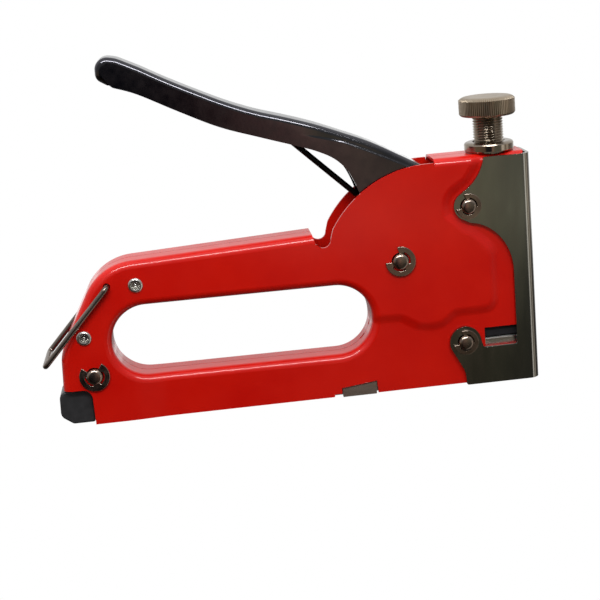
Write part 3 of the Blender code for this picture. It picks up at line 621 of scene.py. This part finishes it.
def folded_run(points, radius, closed=False, first=None, last=None):
    """Part of an outline where the sheet folds inwards, with the sheet on the left.

    Each entry pairs the point where the flat panel ends with the point outside it.
    """
    run = []
    count = len(points)
    for index, point in enumerate(points):
        here = Vector(point)
        ahead = points[(index + 1) % count] if closed or index < count - 1 else None
        behind = points[index - 1] if closed or index > 0 else None
        normals = []
        if behind:
            along = (here - Vector(behind)).normalized()
            normals.append(Vector((-along.y, along.x)))
        if ahead:
            along = (Vector(ahead) - here).normalized()
            normals.append(Vector((-along.y, along.x)))
        inward = sum(normals, Vector((0, 0))).normalized()
        inward *= radius / inward.dot(normals[0])
        run.append((tuple(here + inward), point, True))
    if first:
        run[0] = (first, points[0], True)
    if last:
        run[-1] = (last, points[-1], True)
    return run


def hole(centre, radius, steps=40):
    """Round hole in a panel."""
    return plain_run(arc(centre, radius, 360, 360 / steps, steps - 1))


def with_crossings(loop, creases):
    """Loop with an extra entry wherever a crease line crosses it."""
    result = []
    for start, end in zip(loop, loop[1:] + loop[:1]):
        result.append(start)
        a, b = Vector(start[0]), Vector(end[0])
        shares = []
        for line in creases:
            for c, d in zip(line, line[1:]):
                c, d = Vector(c), Vector(d)
                turn = (b - a).cross(d - c)
                if abs(turn) < 1e-9:
                    continue
                share = (c - a).cross(d - c) / turn
                other = (c - a).cross(b - a) / turn
                if 0.001 < share < 0.999 and 0 <= other <= 1:
                    shares.append(share)
        for share in sorted(shares):
            panel = tuple(a.lerp(b, share))
            outside = tuple(Vector(start[1]).lerp(Vector(end[1]), share))
            result.append((panel, outside, start[2] and end[2]))
    return result


def triangulated(loops, creases):
    """Corners and triangles over the loops, and which corner each point of a loop became."""
    points, edges = [], []
    for line in loops + creases:
        base, count = len(points), len(line)
        points += line
        edges += [(base + i, base + i + 1) for i in range(count - 1)]
        if line in loops:
            edges.append((base + count - 1, base))
    filled = delaunay_2d_cdt([Vector(point) for point in points], edges, [], 0, 1e-4)
    corners, faces, sources = filled[0], filled[2], filled[3]
    found = {source: index for index, group in enumerate(sources) for source in group}
    return corners, faces, found


def folded_panel(loops, creases, half_width, fold, depth, seam, steps=8):
    """Outside skin of one stamped half, on the -y side."""
    loops = [with_crossings(loop, creases) for loop in loops]
    flat = [[entry[0] for entry in loop] for loop in loops]
    corners, faces, found = triangulated(flat, creases)
    bm = bmesh.new()
    panel = {}

    def panel_vert(index):
        if index not in panel:
            x, z = corners[index]
            panel[index] = bm.verts.new(place(x, depth(x, z) - half_width, z))
        return panel[index]

    for face in faces:
        middle = sum((corners[index] for index in face), Vector((0, 0))) / 3
        if inside(middle, flat):
            bm.faces.new([panel_vert(index) for index in face])

    base = 0
    for loop in loops:
        rows = []
        for index, (start, outside, folded) in enumerate(loop):
            if not folded:
                rows.append(None)
                continue
            edge = half_width - depth(*start)
            row = [panel_vert(found[base + index])]
            for step in range(1, steps + 1):
                angle = math.radians(90 * step / steps)
                share = math.sin(angle)
                x = start[0] + (outside[0] - start[0]) * share
                z = start[1] + (outside[1] - start[1]) * share
                row.append(bm.verts.new(place(x, fold * (1 - math.cos(angle)) - edge, z)))
            row.append(bm.verts.new(place(outside[0], -seam, outside[1])))
            rows.append(row)
        for row, following in zip(rows, rows[1:] + rows[:1]):
            if row and following:
                for inner, outer in zip(zip(row, following), zip(row[1:], following[1:])):
                    bm.faces.new((inner[1], inner[0], outer[0], outer[1]))
        base += len(loop)
    return bm


def whole(bm):
    """Join a skin that reaches the middle to its own mirror image."""
    copy = bmesh.ops.duplicate(bm, geom=bm.verts[:] + bm.edges[:] + bm.faces[:])["geom"]
    bmesh.ops.scale(bm, vec=(1, -1, 1), verts=[v for v in copy if isinstance(v, bmesh.types.BMVert)])
    bmesh.ops.reverse_faces(bm, faces=[f for f in copy if isinstance(f, bmesh.types.BMFace)])
    bmesh.ops.remove_doubles(bm, verts=bm.verts, dist=WELD)


def thicken(made, thickness, cutters=()):
    """Sheet thickness inwards from the outside skin, less the cutters."""
    solid = made.modifiers.new("sheet", "SOLIDIFY")
    solid.thickness = thickness * MM
    solid.offset = -1
    solid.use_even_offset = True
    for cutter in cutters:
        cut = made.modifiers.new(cutter.name, "BOOLEAN")
        cut.solver = "EXACT"
        cut.object = cutter
    graph = bpy.context.evaluated_depsgraph_get()
    mesh = bpy.data.meshes.new_from_object(made.evaluated_get(graph), depsgraph=graph)
    made.modifiers.clear()
    made.data = mesh
    shade(mesh)


# ---------------------------------------------------------------- half shells

def step_line():
    """Middle of the sloping step between the main panel and the lower nose and base panel."""
    wave = filleted([(-66, 29.4, 0), (-51.5, 29.0, 4), (-45.5, 25.2, 4), (-39.8, 23.9, 8),
                     (-34.6, 25.4, 4), (-30.6, 28.8, 3), (-15.4, 28.8, 4), (-15.2, 52.5, 6),
                     (-23.5, 60.2, 8), (-30.2, 62.0, 5)], 12)
    lobe = arc(NOSE_UPPER, 8.2, 205, 130, 8)
    return wave[:-1] + lobe + [(-24.0, 78.6), (-20.4, 83.5), (-18.8, 92)]


LINE = step_line()
REGION = LINE + [(-18.8, 110), (20, 110), (20, -20), (-66, -20)]


def recess_depth(x, z):
    """Depth of the shell's panel below the main panel at a point."""
    within = inside((x, z), [REGION]) or (x < -60 and z < 20)
    reach = distance_to_line((x, z), LINE)
    front = 0.5 + (reach if within else -reach) / (2 * STEP_HALF)
    rear = 0.5 + (x - RAMP_X) / (2 * RAMP_HALF)
    return RECESS * min(eased(front), eased(rear))


def shell_outline():
    """Outline of a half shell, from the rear of the base round by the nose and the handle."""
    base = filleted([(-174.0, 14.2, 0), (-169.6, 14.0, 3.5), (-169.5, SHELL_BASE, 0)])
    lug_slot = [(-78.9, SHELL_BASE), (-78.7, 1.5), (-76.0, 1.6), (-75.9, 3.8), (-62.3, 5.3),
                (-62.0, SHELL_BASE)]
    nose = [(SHELL_FRONT, SHELL_BASE)]
    top = folded_run([(LEDGE_FRONT, SHELL_TOP), (-35.3, SHELL_TOP)], SHELL_FOLD,
                     first=(SHELL_FRONT, SHELL_TOP - SHELL_FOLD))
    shoulder = [(-35.6, 86.3)] + arc(SHOULDER, SHOULDER_RADIUS, 90, 149, 40)
    notch = arc((-78.6, 61.7), 2.85, 0, -155, 16)
    handle = filleted([(-82.4, 63.9, 0), (-161.8, 60.7, 21), (-179.4, 28.8, 18),
                       (HANDLE_REAR, 14.4, 0)], 4)
    handle = folded_run(handle, SHELL_FOLD, first=(-81.5, 60.5))
    return plain_run(base + lug_slot + nose) + top + plain_run(shoulder + notch[:-1]) + handle


def grip_hole():
    """Finger hole with round ends, folded inwards all the way round."""
    front = arc(GRIP_FRONT, GRIP_RADIUS, 90, -90, 36)
    rear = arc(GRIP_REAR, GRIP_RADIUS, -90, -270, 36)
    return folded_run(front + rear, SHELL_FOLD, closed=True)


def side_window():
    """Small window low in the nose."""
    return plain_run([(-19.8, 14.0), (-19.8, 21.5), (-5.6, 21.5), (-5.6, 14.0)])


def shell_skin():
    """Outside skin of the right half shell."""
    creases = [offset_line(LINE, STEP_HALF * share / 4) for share in range(-4, 5)]
    creases += [[(x, -5), (x, 30)] for x in
                (RAMP_X + RAMP_HALF * share / 3 for share in range(-3, 4))]
    loops = [shell_outline(), grip_hole(), side_window(),
             hole(PIVOT, PIVOT_RADIUS + GAP), hole(REAR_PIN, PIVOT_RADIUS + GAP),
             hole(NOSE_UPPER, NOSE_PIN_RADIUS + GAP), hole(NOSE_LOWER, NOSE_PIN_RADIUS + GAP),
             hole(RIVET_UPPER, RIVET_RADIUS + GAP), hole(RIVET_LOWER, RIVET_RADIUS + GAP),
             hole(BAIL_HINGE, BAIL_WIRE + GAP, 20)]
    return folded_panel(loops, creases, SHELL_HALF, SHELL_FOLD, recess_depth, GAP / 2)


def add_shells():
    """Right and left half shells, with the bush hole and the seam slots cut out."""
    bush_cut = turned([(0, 4), (BUSH_HOLE, 4), (BUSH_HOLE, -6), (0, -6)],
                      (COLUMN_X, 0, SHELL_TOP), Vector((0, 0, 1)), 48)
    cutters = [new_object("bush_cut", bush_cut)]
    for angle in SEAM_SLOTS:
        x, z = arc(GRIP_FRONT, GRIP_RADIUS, angle, angle, 1)[0]
        outline = [(x - 2.5, z - 1.0), (x + 2.5, z - 1.0), (x + 2.5, z + 1.0), (x - 2.5, z + 1.0)]
        cutters.append(new_object(f"slot_cut_{-angle}", prism(outline, -0.7, 0.7)))
    for name in ("right_shell", "left_shell"):
        skin = shell_skin()
        if name == "left_shell":
            bmesh.ops.scale(skin, vec=(1, -1, 1), verts=skin.verts)
            bmesh.ops.reverse_faces(skin, faces=skin.faces)
        made = piece(f"{name}_panel", skin, RED, "frame", name)
        thicken(made, SHELL_SHEET, cutters)
        weigh(made)
    for cutter in cutters:
        bpy.data.objects.remove(cutter)


add_shells()


# ---------------------------------------------------------------- nose cover

def cover_outline():
    """Side of the nose cover: a lobe at each pin and a long sweep between them."""
    foot = filleted([(-31.9, 12.0, 0), (-28.3, 5.6, 8), (-27.9, 0.0, 0.8), (-20, 0, 0)])[1:-1]
    front = folded_run([(COVER_FRONT, 0.0), (COVER_FRONT, COVER_TOP)], COVER_FOLD)
    rear = arc((-34.5, 89.8), 17.7, -9.5, -60, 16)
    upper_lobe = arc(NOSE_UPPER, 5.4, 112, 248, 22)
    sweep = arc((-25.0, 43.0), 17.3, 84, 0, 26, 19.9)
    window = filleted([(-7.7, 43, 0), (-7.7, 14.2, 0.7), (-20.6, 14.2, 1.4), (-21.7, 17.0, 0)])[1:-1]
    lower_lobe = arc(NOSE_LOWER, 6.0, 4, 204, 32)
    return (front + plain_run([(-16.2, COVER_TOP)] + rear + upper_lobe + sweep + window
                              + lower_lobe + foot))


def add_cover():
    """Bright cover folded round the front of the nose."""
    loops = [cover_outline(), hole(NOSE_UPPER, NOSE_PIN_RADIUS + GAP),
             hole(NOSE_LOWER, NOSE_PIN_RADIUS + GAP)]
    skin = folded_panel(loops, [], COVER_HALF, COVER_FOLD, lambda x, z: 0.0, 0.0)
    whole(skin)
    made = piece("nose_cover_plate", skin, COVER, "frame", "nose_cover")
    thicken(made, COVER_SHEET)
    soften(made, 0.16)


add_cover()


# ---------------------------------------------------------------- lever

CREASE = smooth([(-34, 79.4), (-44.6, 85.7), (-54, 90.5), (-63.6, 95.1), (-70, 97.7),
                 (-82, 101.0), (-95, 104.8)], 6)


def lever_depth(x, z):
    """How far the lever's side lies in from its widest part; the crease fades out to the rear."""
    below = inside((x, z), [CREASE + [(-95, 20), (-10, 20)]])
    reach = distance_to_line((x, z), CREASE)
    step = eased(0.5 - (reach if below else -reach) / (2 * LEVER_CREASE_HALF))
    return LEVER_NARROW * step * eased((x + 84) / 18)


def lever_outline():
    """Side of the lever: handle, cheek round the pivot, and the arm that reaches the hammer."""
    under = smooth([(-149.0, 124.3), (-140.7, 121.2), (-127.1, 114.0), (-112.8, 106.9),
                    (-98.5, 101.8), (-84.9, 97.2), (-77.7, 94.5), (-71.9, 91.3), (-67.7, 87.0),
                    (-65.0, 81.8), (-63.2, 76.5)], 6)
    boss = arc(PIVOT, LEVER_BOSS, 172, 262, 20)
    arm_tip = arc(PIVOT, ARM_REACH, ARM_ANGLE, ARM_ANGLE, 1)[0]
    tip = arc(arm_tip, ARM_TIP_RADIUS, -95, 100, 16)
    web = filleted([(-28.0, 46.2, 0), (-34.5, 48.4, 6), (-38.5, 62.0, 10), (-38.9, 83.2, 0)])
    top = smooth([(-39.0, 85.3), (-47.4, 90.1), (-57.8, 95.9), (-68.1, 100.4), (-78.4, 104.6),
                  (-88.8, 108.1), (-99.1, 111.3), (-109.4, 115.4), (-119.8, 120.4),
                  (-130.0, 125.6), (-139.0, 130.6)], 4)
    end = filleted([(-139.0, 130.6, 0), (-147.0, 134.6, 10), (-154.6, 136.0, 4.4),
                    (-154.9, 127.6, 3.4), (-151.0, 125.3, 0)], 8)
    return (plain_run(under + boss + tip + web)
            + folded_run(top[:-1] + end, LEVER_FOLD, first=(-39.9, 83.5), last=(-150.2, 125.3)))


def add_lever():
    """Folded lever, open below, with two cheeks and two arms inside the housing."""
    creases = [offset_line(CREASE, LEVER_CREASE_HALF * share / 2) for share in range(-2, 3)]
    loops = [lever_outline(), hole(PIVOT, PIVOT_RADIUS + GAP)]
    skin = folded_panel(loops, creases, LEVER_HALF, LEVER_FOLD, lever_depth, 0.0)
    whole(skin)
    made = piece("squeeze_lever_channel", skin, LEVER, "lever", "squeeze_lever")
    thicken(made, LEVER_SHEET)
    weigh(made)


add_lever()


# ---------------------------------------------------------------- pins, clips and rivets

def add_pin(name, centre, radius, groove):
    """Pin across the tool with a clip groove and a rounded chamfer at each end."""
    half, neck = groove + CLIP_SHEET + PIN_END, radius - PIN_GROOVE
    end = [(0, half), (radius - 1.0, half), (radius - 0.75, half - 0.05), (radius - 0.2, half - 0.45),
           (radius, half - 0.75), (radius, groove + CLIP_SHEET + GAP / 2),
           (neck, groove + CLIP_SHEET + GAP / 2), (neck, groove - GAP / 2), (radius, groove - GAP / 2)]
    bm = turned(end + [(r, -y) for r, y in reversed(end)], (centre[0], 0, centre[1]),
                Vector((0, 1, 0)), 40)
    weigh(piece(f"{name}_turned", bm, DARK, "frame", name))


def clip_outline(centre, outer, neck, opening):
    """E-clip: three teeth on the pin's neck and a mouth that faces the opening angle."""
    tooth, pocket, mouth = neck + 0.15, outer * 0.66, 41
    rim = arc(centre, outer, opening + mouth, opening + 360 - mouth, 48)
    inner = []
    for low, high, radius in ((318, 300, tooth), (288, 204, pocket), (192, 168, tooth),
                              (156, 72, pocket), (60, 42, tooth)):
        inner += arc(centre, radius, opening + low, opening + high, 12 if radius == pocket else 4)
    return rim + inner


def add_clips(name, centre, outer, neck, opening, groove):
    """Pair of clips, one on each end of a pin."""
    outline = clip_outline(centre, outer, neck, opening)
    for side, low in (("right", -groove - CLIP_SHEET), ("left", groove)):
        node = f"{name}_clip_{side}"
        made = piece(f"{node}_stamped", prism(outline, low, low + CLIP_SHEET), DARK, "frame", node)
        soften(made, 0.14)


def add_rivet(name, centre):
    """Tubular rivet through both half shells, with rolled heads and hollow ends."""
    head = SHELL_HALF + 0.1
    end = [(0, head - 0.15), (0.3, head - 0.2), (0.55, head - 0.4), (0.7, head - 0.9),
           (1.15, head - 0.9), (1.35, head + 0.2),
           (1.6, head + 0.58), (1.95, head + 0.7), (2.35, head + 0.6), (2.65, head + 0.36),
           (RIVET_HEAD, head + 0.12), (RIVET_HEAD, head), (RIVET_RADIUS, head)]
    bm = turned(end + [(r, -y) for r, y in reversed(end)], (centre[0], 0, centre[1]),
                Vector((0, 1, 0)), 40)
    piece(f"{name}_rolled", bm, BRIGHT, "frame", name)


def add_fasteners():
    """Four clipped pins and two tubular rivets."""
    face, cover = SHELL_HALF + GAP / 2, COVER_HALF + GAP / 2
    pins = (("lever_pivot", PIVOT, PIVOT_RADIUS, PIVOT_CLIP_RADIUS, 140, face),
            ("rear", REAR_PIN, PIVOT_RADIUS, PIVOT_CLIP_RADIUS, 99, face),
            ("nose_upper", NOSE_UPPER, NOSE_PIN_RADIUS, NOSE_CLIP_RADIUS, 150, cover),
            ("nose_lower", NOSE_LOWER, NOSE_PIN_RADIUS, NOSE_CLIP_RADIUS, 150, cover))
    for name, centre, radius, outer, opening, groove in pins:
        add_pin(f"{name}_pin", centre, radius, groove)
        add_clips(name, centre, outer, radius - PIN_GROOVE, opening, groove)
    add_rivet("rivet_upper", RIVET_UPPER)
    add_rivet("rivet_lower", RIVET_LOWER)


add_fasteners()


# ---------------------------------------------------------------- wires and springs

def add_bail():
    """Wire loop hinged in the shells that swings up over the closed lever."""
    end = arc(BAIL_HINGE, BAIL_LENGTH, BAIL_ANGLE, BAIL_ANGLE, 1)[0]
    leg = Vector((end[0] - BAIL_HINGE[0], end[1] - BAIL_HINGE[1])).normalized()
    inner = BAIL_HALF - BAIL_BEND
    turns = [math.radians(a) for a in range(0, 91, 10)]
    half = [(-7.2, 0.0)]
    half += [(-inner - BAIL_BEND * math.sin(a), BAIL_BEND * (1 - math.cos(a))) for a in turns]
    half += [(-BAIL_HALF, BAIL_LENGTH / 2)]
    half += [(-inner - BAIL_BEND * math.cos(a), BAIL_LENGTH - BAIL_BEND + BAIL_BEND * math.sin(a))
             for a in turns]
    path = half + [(-y, reach) for y, reach in reversed(half)]
    points = [(BAIL_HINGE[0] + leg.x * reach, y, BAIL_HINGE[1] + leg.y * reach)
              for y, reach in path]
    piece("lock_bail_wire", tube(points, BAIL_WIRE, 16), BRONZE, "bail", "lock_bail")


def add_return_spring():
    """Torsion spring round the pivot, built in one fixed shape; the real coil winds up as the lever
    closes.
    """
    steps = round(RETURN_TURNS * 36)
    coil = []
    for step in range(steps + 1):
        angle = math.radians(RETURN_LEAVE - 360 * RETURN_TURNS * (1 - step / steps))
        coil.append((PIVOT[0] + RETURN_MEAN * math.cos(angle),
                     RETURN_HALF * (2 * step / steps - 1),
                     PIVOT[1] + RETURN_MEAN * math.sin(angle)))
    first = math.radians(RETURN_LEAVE - 360 * RETURN_TURNS)
    hook = (coil[0][0] + RETURN_HOOK * math.sin(first), -RETURN_HALF,
            coil[0][2] - RETURN_HOOK * math.cos(first))
    last = math.radians(RETURN_LEAVE)
    reach = Vector((-math.sin(last), 0, math.cos(last)))
    start = Vector(coil[-1])
    leg = [tuple(start + reach * length + Vector((0, drift, 0)))
           for length, drift in ((6, -0.4), (18, -1.5), (44, -3.0), (67, -3.6))]
    made = piece("lever_return_coil", tube([hook] + coil + leg, RETURN_WIRE, 14), WIRE, None,
                 "lever_return_spring")
    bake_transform(made)


def add_mainspring():
    """Compression spring under the knob, in two halves that meet in the middle."""
    low, high = HAMMER_TABLE + GAP + SPRING_WIRE, SEAT_BASE - GAP - SPRING_WIRE
    for name, start, joint, anchor_to in (("mainspring_lower", 0.0, "hammer_lift", HAMMER_LIFT),
                                          ("mainspring_upper", 0.5, "seat_slide", SEAT_SLIDE)):
        steps = round(SPRING_TURNS * 15)
        points = []
        for step in range(steps + 1):
            share = start + 0.5 * step / steps
            turn = 2 * math.pi * SPRING_TURNS * share
            points.append((COLUMN_X + SPRING_RADIUS * math.cos(turn), SPRING_RADIUS * math.sin(turn),
                           low + (high - low) * share))
        made = piece(name, tube(points, SPRING_WIRE, 12), WIRE, "frame", "mainspring")
        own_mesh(made)


def add_pusher_spring():
    """Long spring round the guide rod, built in one fixed shape that rides with the drawer; the real
    coil shortens as the pusher goes back.
    """
    steps = COIL_TURNS * 14
    points = []
    for step in range(steps + 1):
        share = step / steps
        turn = 2 * math.pi * COIL_TURNS * share
        points.append((COIL_FRONT + (COIL_REAR - COIL_FRONT) * share, COIL_RADIUS * math.cos(turn),
                       ROD_Z + COIL_RADIUS * math.sin(turn)))
    made = piece("pusher_coil", tube(points, COIL_WIRE, 8), WIRE, "drawer", "pusher_spring")
    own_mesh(made)


add_bail()
add_return_spring()
add_mainspring()
add_pusher_spring()


# ---------------------------------------------------------------- knob column

def column_ring(bm, height, radii):
    """Ring of vertices round the knob's axis, one at each radius."""
    ring = []
    for step, radius in enumerate(radii):
        turn = 2 * math.pi * step / len(radii)
        ring.append(bm.verts.new(place(COLUMN_X + radius * math.cos(turn),
                                       radius * math.sin(turn), height)))
    return ring


def ridged(profile, ridges, depth, low, high):
    """Turned part whose rim, between the heights low and high, carries straight knurling."""
    per_ridge = 4
    count = ridges * per_ridge
    dents = [depth * max(0.0, -math.cos(2 * math.pi * step / per_ridge)) for step in range(count)]
    bm = bmesh.new()
    rings = []
    for radius, height in profile:
        if radius == 0:
            rings.append(column_ring(bm, height, [0.0]) * count)
        elif low <= height <= high:
            rings.append(column_ring(bm, height, [radius - dent for dent in dents]))
        else:
            rings.append(column_ring(bm, height, [radius] * count))
    join_rings(bm, rings)
    bmesh.ops.recalc_face_normals(bm, faces=bm.faces)
    return bm


def threaded_stem():
    """Stem with a screw thread of 1 mm pitch and a plain foot."""
    pitch, around, per_pitch, depth = 1.0, 64, 8, 0.55
    low, high = SEAT_BASE + 3.4, KNOB_BASE
    rows = round((high - low) / pitch * per_pitch)
    bm = bmesh.new()
    rings = [column_ring(bm, SEAT_BASE + 2.6, [STEM_RADIUS - 0.8] * around)]
    for row in range(rows + 1):
        height = low + (high - low) * row / rows
        phases = [(height / pitch - step / around) % 1.0 for step in range(around)]
        rings.append(column_ring(bm, height, [
            STEM_RADIUS - depth * (0.5 + 0.5 * math.cos(2 * math.pi * phase)) for phase in phases]))
    join_rings(bm, rings)
    bm.faces.new(rings[0][::-1])
    bm.faces.new(rings[-1])
    bmesh.ops.recalc_face_normals(bm, faces=bm.faces)
    return bm


def add_knob_column():
    """Tension knob with its threaded stem, and the collar it screws through."""
    top, base, radius = KNOB_TOP, KNOB_BASE, KNOB_RADIUS
    head = [(0, top), (radius - 4.2, top - 0.02), (radius - 2.6, top - 0.06), (radius - 1.6, top - 0.2),
            (radius - 1.3, top - 0.3), (radius - 0.6, top - 0.7), (radius, top - 1.2)]
    head += [(radius, base + 0.8), (radius - 0.35, base + 0.35), (radius - 0.8, base),
             (STEM_RADIUS - 0.6, base), (0, base)]
    bm = ridged(head, 84, 0.3, base + 0.3, top - 0.5)
    piece("tension_knob_head", bm, KNURLED, "knob", "tension_knob", 25)
    piece("tension_knob_thread", threaded_stem(), NICKEL, "knob", "tension_knob", 60)
    bore, low, foot = STEM_RADIUS + GAP, SHELL_TOP + GAP, SHELL_TOP - BUSH_DEPTH
    collar = [(bore, BUSH_TOP), (BUSH_RADIUS - 1.5, BUSH_TOP), (BUSH_RADIUS - 0.8, BUSH_TOP - 0.12),
              (BUSH_RADIUS - 0.25, BUSH_TOP - 0.45), (BUSH_RADIUS, BUSH_TOP - 0.9),
              (BUSH_RADIUS, low + 0.5), (BUSH_RADIUS - 0.3, low),
              (BUSH_HOLE - GAP, low), (BUSH_HOLE - GAP, foot), (bore, foot), (bore, BUSH_TOP)]
    bm = ridged(collar, 30, 0.012, low + 0.42, BUSH_TOP - 0.8)
    bmesh.ops.remove_doubles(bm, verts=bm.verts, dist=WELD)
    piece("knob_bush_collar", bm, NICKEL, "frame", "knob_bush", 25)


add_knob_column()


# ---------------------------------------------------------------- magazine end cap

def add_end_cap():
    """Moulded tail of the rail, with rounded edges."""
    outline = filleted([(-169.8, 0.8, 0), (-169.8, 11.5, 0), (-171.5, 13.7, 0), (-182.0, 13.7, 3),
                        (-182.4, 4.0, 3), (-178.0, 0.8, 2), (-172, 0.8, 0)])
    made = piece("rail_end_tail", prism(outline, -CAP_HALF, CAP_HALF), PLASTIC, "drawer",
                 "rail_end_cap")
    soften(made, 0.7, 3)


add_end_cap()


# ---------------------------------------------------------------- works inside, kept from the CAD

def finish_works():
    """Materials for the pieces kept as the CAD made them."""
    kept = {"pivot_sleeve": BRIGHT, "spring_seat": BRIGHT, "hammer": BRIGHT, "driver_blade": DARK,
            "bumper": RUBBER, "magazine_channel": BRIGHT, "feed_rail": BRIGHT, "guide_rod": BRIGHT,
            "pusher": DARK}
    for node, finish in kept.items():
        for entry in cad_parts[node].material_slots:
            entry.material = finish


finish_works()
